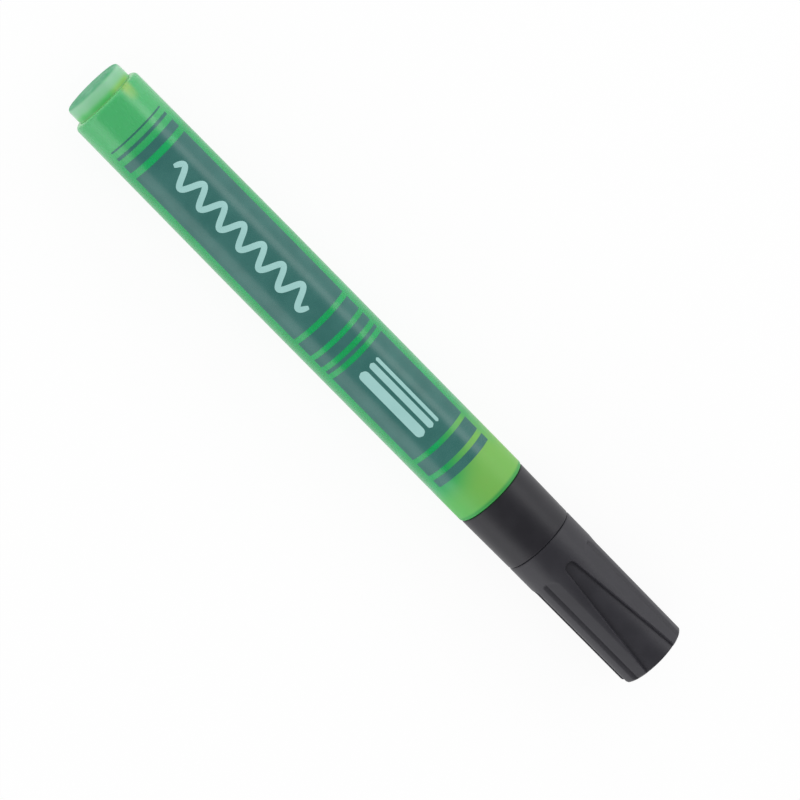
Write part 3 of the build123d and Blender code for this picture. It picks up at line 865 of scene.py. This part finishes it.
def cap_quarter(station, depth, point, spread, delay, groove_side):
    """Turns from a panel's middle and depths below the plain surface, for the quarter of the cap
    round that panel. The panel starts in a round point, its straight sides spread, and its wall is a
    power curve. A groove runs along both borders of the quarter. On one side of the border lies its
    facet, whose depth is a low parabola, and on the other its notch, which drops in a short straight
    edge and rises in a long one. Both fade in past a parabola. Columns crowd where walls stand."""
    cone = cap_cone(station)
    past_start = station - flute_start
    past_point = past_start - delay - point
    half_width = point + spread * past_point
    edge = np.arcsin(np.maximum(half_width, panel_line_least) / cone)
    past_border = groove_side > 0.0
    groove_reach = notch_end if past_border else -facet_start
    groove_line = np.maximum(
        eighth - (groove_reach + groove_margin) / cone,
        edge + (panel_edge_round + groove_line_gap) / cone,
    )
    notch_lines = [eighth - notch_bottom / cone, eighth - notch_edge / cone] if past_border else []
    half_lines = [
        0.0 * cone,
        edge - (panel_wall - panel_edge_round + wall_foot_margin) / cone,
        edge + (panel_edge_round + wall_top_margin) / cone,
        groove_line,
        *notch_lines,
        eighth + 0.0 * cone,
    ]
    half_counts = notch_side_columns if past_border else facet_side_columns
    lines = [-line for line in half_lines[:0:-1]] + half_lines
    counts = half_counts[::-1] + half_counts
    turn = np.concatenate(
        [
            line + (following - line) * np.linspace(0.0, 1.0, count, endpoint=False)[None, :]
            for line, following, count in zip(lines, lines[1:], counts)
        ],
        axis=1,
    )
    beside = cone * np.abs(np.sin(turn))
    in_point = point - np.hypot(past_point, beside)
    in_panel = np.where(past_point < 0.0, in_point, half_width - beside)
    wall_share = np.clip((in_panel + panel_edge_round) / panel_wall, 0.0, 1.0)
    panel_sink = depth * wall_share**panel_wall_power
    from_border = groove_side * cone * np.sin(eighth - np.abs(turn))
    on_facet = np.maximum(from_border - facet_start, 0.0)
    facet_sink = np.maximum(facet_slope * on_facet * (1.0 - facet_flatten * on_facet), 0.0)
    drop = np.clip((from_border - notch_edge) / (notch_bottom - notch_edge), 0.0, 1.0)
    rise = np.clip((notch_end - from_border) / (notch_end - notch_bottom), 0.0, 1.0)
    past_groove = past_start - groove_start
    facet_begun = past_groove - facet_start_curve * (from_border - facet_start_middle) ** 2
    notch_begun = past_groove - notch_start_curve * (from_border - notch_start_middle) ** 2
    facet_sink = facet_sink * smooth(facet_begun / groove_start_length)
    notch_sink = notch_depth * drop * rise * smooth(notch_begun / groove_start_length)
    return turn, np.maximum(panel_sink, np.maximum(facet_sink, notch_sink))


cap_inside = outline(
    [
        (cap_floor, 0.0, 0.0),
        (cap_floor, cap_step_radius, cap_floor_round),
        (cap_step, cap_step_radius, 0.0),
        (cap_step, cap_bore, 0.0),
        (cap_rim, cap_bore, cap_mouth_round),
        (cap_rim, cap_rim_radius, cap_rim_round),
        (run_start, cap_cone(run_start), 0.0),
    ]
)
fine_run = np.linspace(run_start + fine_run_lead, fine_run_end, fine_run_rows)
coarse_run = np.linspace(coarse_run_start, run_end, coarse_run_rows)
run_stations = np.concatenate([fine_run, coarse_run])
cap_run = np.stack([run_stations, cap_cone(run_stations)], axis=1)
cap_close = outline(
    [
        (run_end + close_lead, cap_cone(run_end), 0.0),
        (cap_end, cap_end_radius, cap_end_round),
        *[(cap_end, ring, 0.0) for ring in cap_end_rings],
    ]
)
cap_points = np.concatenate([cap_inside, cap_run, cap_close])
station = cap_points[:, :1]
top_turn, top_sink = cap_quarter(station, **top_panel)
side_turn, side_sink = cap_quarter(station, **side_panel)
cap_turns = np.concatenate(
    [top_turn, side_turn + quarter, top_turn + 2.0 * quarter, side_turn + 3.0 * quarter],
    axis=1,
)
cap_sink = np.concatenate([top_sink, side_sink, top_sink, side_sink], axis=1)
cap_radius = np.minimum(cap_points[:, 1:], cap_cone(station) - cap_sink)
cap_grid = around(station, cap_radius, cap_turns + cap_turn)
cap = make_piece("cap_fluted_shell", [cap_grid], wrap_columns=True)
cap_plastic = moulded_black(
    "cap_plastic",
    dark=tone(42, 41, 48),
    light=tone(46, 45, 52),
    roughness=0.4,
    gloss=0.48,
)
cap.data.materials.append(cap_plastic)
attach(cap, "cap")
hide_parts("cap_shell")

# Print: panels and stripes of dark teal ink, pad-printed on the upper side of the barrel.
# The film is about a hundredth of a millimetre thick and follows the barrel's taper.
print_turn = math.radians(1.4)
print_half_turn = math.radians(54.0)
print_half_arc = print_half_turn * barrel_radius
print_sink = 0.02
print_border = 0.004
stripe_lift = print_lift * 0.6
stripe_rows = 12
stripe_columns = 61
stripe_stations = (
    (-60.1, -59.8),
    (-58.7, -58.12),
    (-56.9, -55.28),
    (-54.0, -15.4),
    (-14.3, -11.32),
    (-10.3, -8.58),
    (-7.52, -6.82),
    (-5.78, 14.22),
    (15.22, 18.23),
    (19.32, 20.96),
)


def barrel_surface(station):
    """Radius of the barrel: a straight taper to the rear, then parallel."""
    tapered = [barrel_rear, barrel_taper_end]
    return np.interp(station, tapered, [barrel_rear_radius, barrel_radius])


def printed(station, arc, lift):
    """The two sides of a film of ink on the barrel, over a grid of stations and of lengths round the
    barrel. The upper side stands proud by the lift, the lower side is sunk in, and they meet at the
    film's border."""
    station, arc = np.broadcast_arrays(station, arc)
    inside = np.zeros(station.shape)
    inside[1:-1, 1:-1] = 1.0
    surface = barrel_surface(station)
    turn = print_turn + arc / barrel_radius
    upper = around(station, surface + inside * lift - (1.0 - inside) * print_sink, turn)
    lower = around(station, surface - print_sink, turn)
    return [upper, lower]


def spaced(start, end, count):
    """Even values between start and end, and the two themselves a small step outside them, where the
    film falls to its border."""
    even = np.linspace(start + print_border, end - print_border, count)
    return np.concatenate([[start], even, [end]])


stripes = []
for start, end in stripe_stations:
    rows = spaced(start, end, stripe_rows)[:, None]
    columns = spaced(-print_half_arc, print_half_arc, stripe_columns)[None, :]
    stripes += printed(rows, columns, stripe_lift)
label = make_piece("print_stripes", stripes)
teal = tone(46, 104, 98)
light_teal = tone(56, 112, 106)
ink, ink_shader, spot = new_finish("print_ink")
cloud = spot.noise(scale=0.25, detail=3.0)
speck = spot.noise(scale=9.0, detail=2.0)
ink_shader_inputs = {
    "Base Color": cloud.step(0.3, 0.75).blend(teal, light_teal),
    "Roughness": 0.22 + speck * 0.1,
    "Normal": spot.bump(speck, strength=0.12, depth=0.01),
    "Specular IOR Level": 0.45,
}
spot.feed(ink_shader, ink_shader_inputs)
label.data.materials.append(ink)
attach(label, "barrel_unit")

# Print marks: plain pale marks in a second ink over the dark panels.
# A wavy stroke is a drawn sample, and three bars are a sample of line widths.
stroke_start = -51.5
stroke_end = -17.9
stroke_waves = 7.0
stroke_height = 1.75
stroke_half_width = 0.55
stroke_end_power = 60
stroke_end_least = 0.02
stroke_rows = 240
stroke_columns = 7
bar_start = -3.6
bar_end = 11.9
bar_places = ((-1.75, 0.95), (0.5, 0.6), (1.95, 0.32))
bar_end_least = 1e-4
bar_rows = 60
bar_columns = 9
stroke_length = stroke_end - stroke_start
stroke_share = spaced(0.0, 1.0, stroke_rows)[:, None]
stroke_phase = 2.0 * math.pi * stroke_waves * stroke_share
stroke_station = stroke_start + stroke_length * stroke_share
stroke_arc = stroke_height * np.sin(stroke_phase)
stroke_slope = stroke_height * np.cos(stroke_phase) * 2.0 * math.pi * stroke_waves / stroke_length
stroke_across = spaced(-1.0, 1.0, stroke_columns)[None, :]
from_middle = 2.0 * np.abs(stroke_share - 0.5)
stroke_round = np.sqrt(np.clip(1.0 - from_middle**stroke_end_power, stroke_end_least, 1.0))
stroke_offset = stroke_half_width * stroke_round * stroke_across
stroke_stretch = np.sqrt(1.0 + stroke_slope**2)
marks = printed(
    stroke_station - stroke_offset * stroke_slope / stroke_stretch,
    stroke_arc + stroke_offset / stroke_stretch,
    print_lift,
)
for bar_arc, bar_half_width in bar_places:
    bar_station = spaced(bar_start, bar_end, bar_rows)[:, None]
    from_end = np.minimum(bar_station - bar_start, bar_end - bar_station)
    from_round = np.clip(bar_half_width - from_end, 0.0, bar_half_width)
    bar_round = np.sqrt(np.maximum(bar_half_width**2 - from_round**2, bar_end_least))
    bar_across = spaced(-1.0, 1.0, bar_columns)[None, :]
    marks += printed(bar_station, bar_arc + bar_round * bar_across, print_lift)
sample = make_piece("print_marks", marks)
pale_teal = tone(148, 197, 193)
paler_teal = tone(162, 208, 204)
pale_ink, pale_shader, spot = new_finish("print_pale_ink")
cloud = spot.noise(scale=0.4, detail=3.0)
speck = spot.noise(scale=9.0, detail=2.0)
pale_shader_inputs = {
    "Base Color": cloud.blend(pale_teal, paler_teal),
    "Roughness": 0.35 + speck * 0.15,
    "Normal": spot.bump(speck, strength=0.2, depth=0.01),
    "Specular IOR Level": 0.4,
}
spot.feed(pale_shader, pale_shader_inputs)
sample.data.materials.append(pale_ink)
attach(sample, "barrel_unit")

# Studio: a pale floor that keeps the marker's shadow, and a white surround. Long softboxes on both
# sides of the marker leave the room above it dim, so that its gloss lies in two bands with a darker
# band between them.
floor_half = 3000.0
floor_white = 0.92
white = (1.0, 1.0, 1.0, 1.0)
floor_edge = np.array([-floor_half, floor_half])
floor_x, floor_y = np.meshgrid(floor_edge, floor_edge, indexing="ij")
floor = make_piece("floor", [np.stack([floor_x, floor_y, np.zeros_like(floor_x)], axis=-1)])
floor_paper, floor_shader, spot = new_finish("floor_paper")
mottle = spot.noise(scale=0.02, detail=2.0)
floor_inputs = {
    "Base Color": mottle.blend(tone(244, 244, 244), tone(248, 248, 248)),
    "Roughness": 0.9,
    "Specular IOR Level": 0.0,
}
spot.feed(floor_shader, floor_inputs)


def seen_rays(start):
    """1 for rays that show the surround, which come from the camera, in reflections or through clear
    pieces, and 0 for the rest."""
    path = start.node("ShaderNodeLightPath", output="Is Camera Ray")
    seen = path + path.other("Is Glossy Ray") + path.other("Is Transmission Ray")
    return seen.step(0.0, 1.0)


glow = spot.node("ShaderNodeEmission", {}, {"Color": white, "Strength": 1.0})
paper = Shade(spot.tree, floor_shader.outputs[0])
floor_mix_inputs = {0: seen_rays(spot) * floor_white, 1: paper, 2: glow}
floor_mix = spot.node("ShaderNodeMixShader", {}, floor_mix_inputs)
spot.feed(floor_paper.node_tree.nodes["Material Output"], {"Surface": floor_mix})
floor.data.materials.append(floor_paper)

room_level = 0.85
ceiling_level = 0.16
wall_top = 0.35
right_edge = math.radians(44.0)
left_edge = math.radians(56.0)
edge_softness = 0.06
world = bpy.data.worlds.new("studio")
world.use_nodes = True
bpy.context.scene.world = world
room = Shade(world.node_tree)
direction = room.node("ShaderNodeTexCoord", output="Generated")
facing = room.node("ShaderNodeSeparateXYZ", {}, {0: direction})
facing_side = facing.other("Y")
facing_up = facing.other("Z")
past_right = facing_side * math.cos(right_edge) - facing_up * math.sin(right_edge)
past_left = facing_side * -math.cos(left_edge) - facing_up * math.sin(left_edge)
open_right = 1.0 - past_right.step(-edge_softness, edge_softness)
open_left = 1.0 - past_left.step(-edge_softness, edge_softness)
open_top = facing_up.step(wall_top - edge_softness, wall_top + edge_softness)
walls = 1.0 - open_right * open_left * open_top * (1.0 - ceiling_level)
seen = seen_rays(room)
level = seen * walls + (1.0 - seen) * room_level
room_light = room.node("ShaderNodeBackground", {}, {"Color": white, "Strength": level})
room.feed(world.node_tree.nodes["World Output"], {"Surface": room_light})


def softbox(name, side, angle, width, lamp_rear, lamp_front, radiance):
    """Long lamp beside the marker, in metres. It stands at an angle from straight up, on the +Y side
    (1) or the -Y side (-1), faces the marker, and reaches from lamp_rear to lamp_front along it. Its
    power is the radiance times pi times its area."""
    lamp_distance = 0.6
    lamp_length = lamp_front - lamp_rear
    lamp = bpy.data.lights.new(name, "AREA")
    lamp.shape = "RECTANGLE"
    lamp.size = lamp_length
    lamp.size_y = width
    lamp.energy = radiance * math.pi * lamp_length * width
    holder = bpy.data.objects.new(name, lamp)
    bpy.context.scene.collection.objects.link(holder)
    direction = mathutils.Vector((0.0, side * math.sin(angle), math.cos(angle)))
    holder.location = direction * lamp_distance
    holder.location.x = (lamp_rear + lamp_front) / 2.0
    holder.rotation_euler = (side * -angle, 0.0, 0.0)
    holder.visible_camera = False


softbox(
    "softbox_right",
    side=1.0,
    angle=math.radians(57.0),
    width=0.2,
    lamp_rear=-0.8,
    lamp_front=0.3,
    radiance=1.75,
)
softbox(
    "softbox_left",
    side=-1.0,
    angle=math.radians(72.0),
    width=0.345,
    lamp_rear=-0.7,
    lamp_front=0.7,
    radiance=0.75,
)

# Camera: a long lens above the marker and a little behind it, turned so that the marker lies on
# the diagonal of the picture. Its aim is given in pixels of the picture from the marker's middle.
camera_tilt = math.radians(11.4)
camera_roll = math.radians(45.44)
camera_distance = 728.7
focal_length = 190.0
sensor_width = 36.0
far_clip_metres = 20.0
pixel_size = 0.1726
aim_right = 23.6
aim_down = 24.5
towards = np.array([-math.sin(camera_tilt), 0.0, math.cos(camera_tilt)])
lengthwise = np.array([math.cos(camera_tilt), 0.0, math.sin(camera_tilt)])
crosswise = np.array([0.0, 1.0, 0.0])
right = math.cos(camera_roll) * lengthwise + math.sin(camera_roll) * crosswise
top = -math.sin(camera_roll) * lengthwise + math.cos(camera_roll) * crosswise
marker_middle = np.array([0.0, 0.0, axis_height])
target = marker_middle + pixel_size * (aim_right * right - aim_down * top)
lens = bpy.data.cameras.new("camera")
lens.lens = focal_length
lens.sensor_width = sensor_width
lens.clip_end = far_clip_metres
camera = bpy.data.objects.new("camera", lens)
bpy.context.scene.collection.objects.link(camera)
placed = mathutils.Matrix.Identity(4)
for column, direction in enumerate((right, top, towards)):
    for row in range(3):
        placed[row][column] = direction[row]
for row in range(3):
    placed[row][3] = (target[row] + camera_distance * towards[row]) * millimetre
camera.matrix_world = placed
bpy.context.scene.camera = camera
bpy.context.scene.view_settings.view_transform = "Standard"
